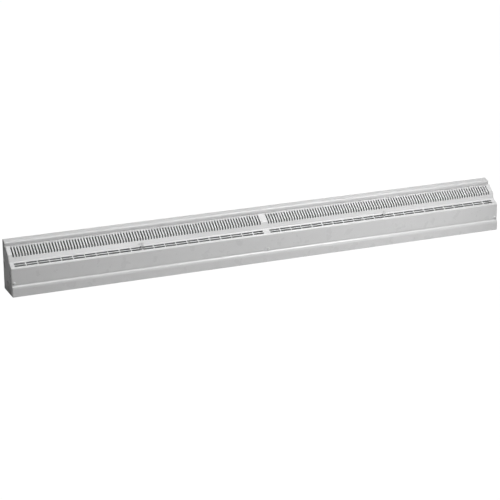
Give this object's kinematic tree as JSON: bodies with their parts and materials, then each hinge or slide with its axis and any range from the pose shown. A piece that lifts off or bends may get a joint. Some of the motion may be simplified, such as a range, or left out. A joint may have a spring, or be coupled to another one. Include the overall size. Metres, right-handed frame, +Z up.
{
  "type": "baseboard diffuser",
  "caption": "Long low baseboard air outlet for a heating duct: slotted sloping steel face over a flat panel and toe strip, closed by end caps, with two lever-worked dampers inside.",
  "frame": {"origin": "middle of the length and depth, on the floor", "axes": "+X along the length, +Y towards the wall, +Z up; the face looks towards -Y"},
  "size_m": [1.2192, 0.068, 0.1143],
  "materials": {
    "white_paint": "white baked enamel on stamped steel, semi-gloss",
    "zinc_sheet": "galvanised sheet steel",
    "spring_steel": "dark spring steel"
  },
  "bodies": {
    "case": {"rear_panel": "white_paint", "face_panel": "white_paint", "toe_strip": "white_paint", "centre_support": "zinc_sheet", "face_screw_left": "white_paint", "face_clip_left": "spring_steel", "face_screw_centre": "white_paint", "face_clip_centre": "spring_steel", "face_screw_right": "white_paint", "face_clip_right": "spring_steel", "end_cap_left": "white_paint", "floor_tie_left": "zinc_sheet", "cap_rivet_left_lower": "zinc_sheet", "cap_rivet_left_upper": "zinc_sheet", "support_rivet_left_lower": "zinc_sheet", "support_rivet_left_upper": "zinc_sheet", "pivot_bracket_left_outer": "zinc_sheet", "pivot_bracket_left_inner": "zinc_sheet", "bracket_rivet_left_outer": "zinc_sheet", "bracket_rivet_left_inner": "zinc_sheet", "pivot_pin_left_outer": "zinc_sheet", "pivot_pin_left_inner": "zinc_sheet", "friction_washer_left": "spring_steel", "end_cap_right": "white_paint", "floor_tie_right": "zinc_sheet", "cap_rivet_right_lower": "zinc_sheet", "cap_rivet_right_upper": "zinc_sheet", "support_rivet_right_lower": "zinc_sheet", "support_rivet_right_upper": "zinc_sheet", "pivot_bracket_right_outer": "zinc_sheet", "pivot_bracket_right_inner": "zinc_sheet", "bracket_rivet_right_outer": "zinc_sheet", "bracket_rivet_right_inner": "zinc_sheet", "pivot_pin_right_outer": "zinc_sheet", "pivot_pin_right_inner": "zinc_sheet", "friction_washer_right": "spring_steel"},
    "damper_left": {"damper_blade_left": "zinc_sheet", "damper_lever_left": "white_paint", "lever_rivet_left": "zinc_sheet"},
    "damper_right": {"damper_blade_right": "zinc_sheet", "damper_lever_right": "white_paint", "lever_rivet_right": "zinc_sheet"}
  },
  "joints": [
    {"name": "damper_left_turn", "type": "hinge", "parent": "case", "child": "damper_left", "pos_m": [-0.3, -0.01, 0.06], "axis": [1, 0, 0], "range_deg": [-22, 2]},
    {"name": "damper_right_turn", "type": "hinge", "parent": "case", "child": "damper_right", "pos_m": [0.3, -0.01, 0.06], "axis": [1, 0, 0], "range_deg": [-22, 2]}
  ]
}
